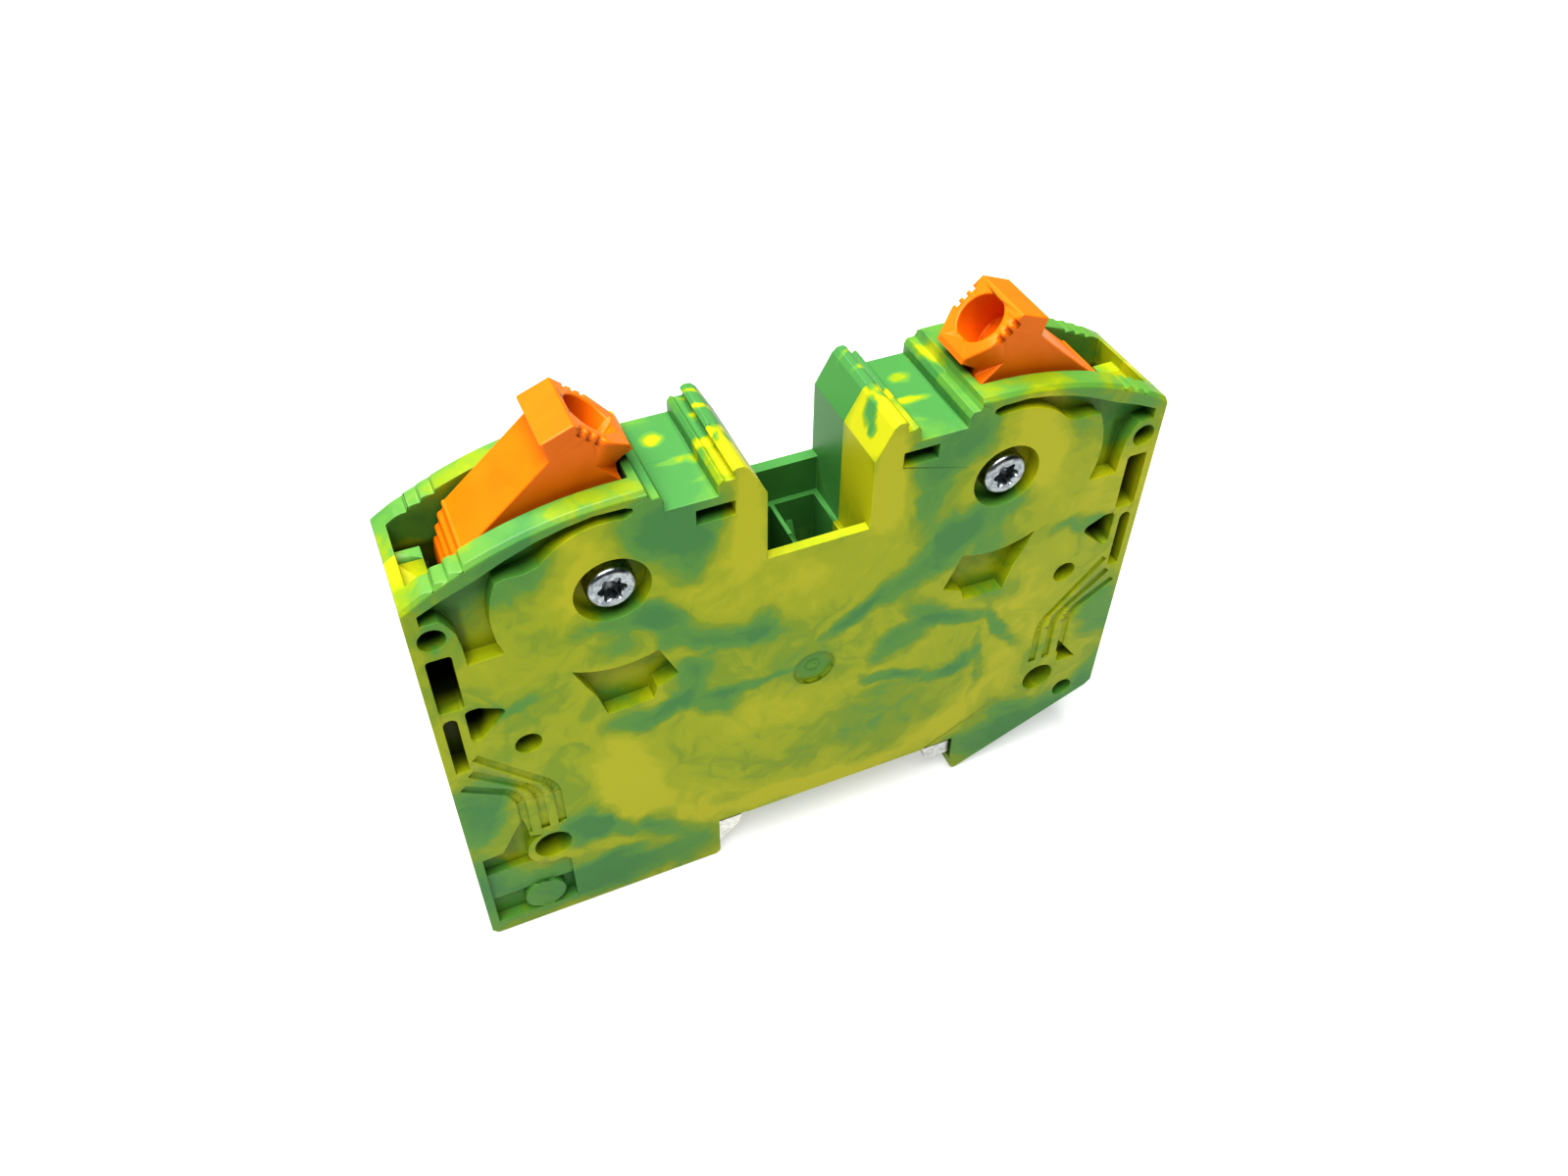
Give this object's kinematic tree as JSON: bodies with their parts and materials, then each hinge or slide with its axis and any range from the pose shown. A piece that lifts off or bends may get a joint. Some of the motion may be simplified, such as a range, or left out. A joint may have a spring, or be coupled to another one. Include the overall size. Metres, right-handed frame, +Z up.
{
  "type": "din rail terminal block",
  "caption": "Lever-operated earth terminal block in a green and yellow two-shell housing, with a metal foot for 35 mm rail.",
  "frame": {"origin": "middle of the base, on the plane of the left foot's underside", "axes": "+X along the block from the left conductor entry to the right one, across the rail; +Y from the screw side to the back, along the rail; +Z up, away from the rail"},
  "size_m": [0.0924, 0.016, 0.0766],
  "materials": {
    "housing_plastic": "satin, green and yellow marbled",
    "lever_plastic": "satin",
    "zinc_steel": "bright zinc plated",
    "spring_steel": "satin",
    "tinned_copper": "tin plated"
  },
  "bodies": {
    "block": {"housing_front": "housing_plastic", "housing_rear": "housing_plastic", "busbar": "tinned_copper", "earth_foot": "tinned_copper", "foot_rivet_left": "tinned_copper", "foot_rivet_right": "tinned_copper", "axle_screw_left": "zinc_steel", "axle_screw_right": "zinc_steel", "axle_sleeve_left": "zinc_steel", "axle_sleeve_right": "zinc_steel", "hex_nut_left": "zinc_steel", "hex_nut_right": "zinc_steel", "clamp_spring_left": "spring_steel", "clamp_spring_right": "spring_steel"},
    "left_lever": {"lever_left": "lever_plastic"},
    "right_lever": {"lever_right": "lever_plastic"},
    "left_yoke": {"clamp_yoke_left": "spring_steel"},
    "right_yoke": {"clamp_yoke_right": "spring_steel"},
    "left_leg": {"clamp_leg_left": "spring_steel"},
    "right_leg": {"clamp_leg_right": "spring_steel"},
    "latch": {"rail_latch": "spring_steel"}
  },
  "joints": [
    {"name": "lever_left_hinge", "type": "hinge", "parent": "block", "child": "left_lever", "pos_m": [-0.0244, 0, 0.0567], "axis": [0, -1, 0], "range_deg": [0, 54]},
    {"name": "lever_right_hinge", "type": "hinge", "parent": "block", "child": "right_lever", "pos_m": [0.0244, 0, 0.0567], "axis": [0, 1, 0], "range_deg": [0, 54]},
    {"name": "yoke_left_slide", "type": "slide", "parent": "block", "child": "left_yoke", "axis": [0, 0, 1], "range_m": [-0.0075, 0]},
    {"name": "yoke_right_slide", "type": "slide", "parent": "block", "child": "right_yoke", "axis": [0, 0, 1], "range_m": [-0.0075, 0]},
    {"name": "leg_left_bend", "type": "hinge", "parent": "block", "child": "left_leg", "pos_m": [-0.0145, 0, 0.0402], "axis": [0, -1, 0], "range_deg": [0, 24.6]},
    {"name": "leg_right_bend", "type": "hinge", "parent": "block", "child": "right_leg", "pos_m": [0.0145, 0, 0.0402], "axis": [0, 1, 0], "range_deg": [0, 24.6]},
    {"name": "rail_latch_bend", "type": "hinge", "parent": "block", "child": "latch", "pos_m": [0.0246, 0, 0.0155], "axis": [0, -1, 0], "range_deg": [0, 20], "stiffness_Nm_per_rad": 0.05}
  ],
  "couplings": [
    {"joint": "yoke_left_slide", "follows": "lever_left_hinge", "m_per_rad": -0.0078517},
    {"joint": "yoke_right_slide", "follows": "lever_right_hinge", "m_per_rad": -0.0078517},
    {"joint": "leg_left_bend", "follows": "lever_left_hinge", "ratio": 0.4537},
    {"joint": "leg_right_bend", "follows": "lever_right_hinge", "ratio": 0.4537}
  ]
}
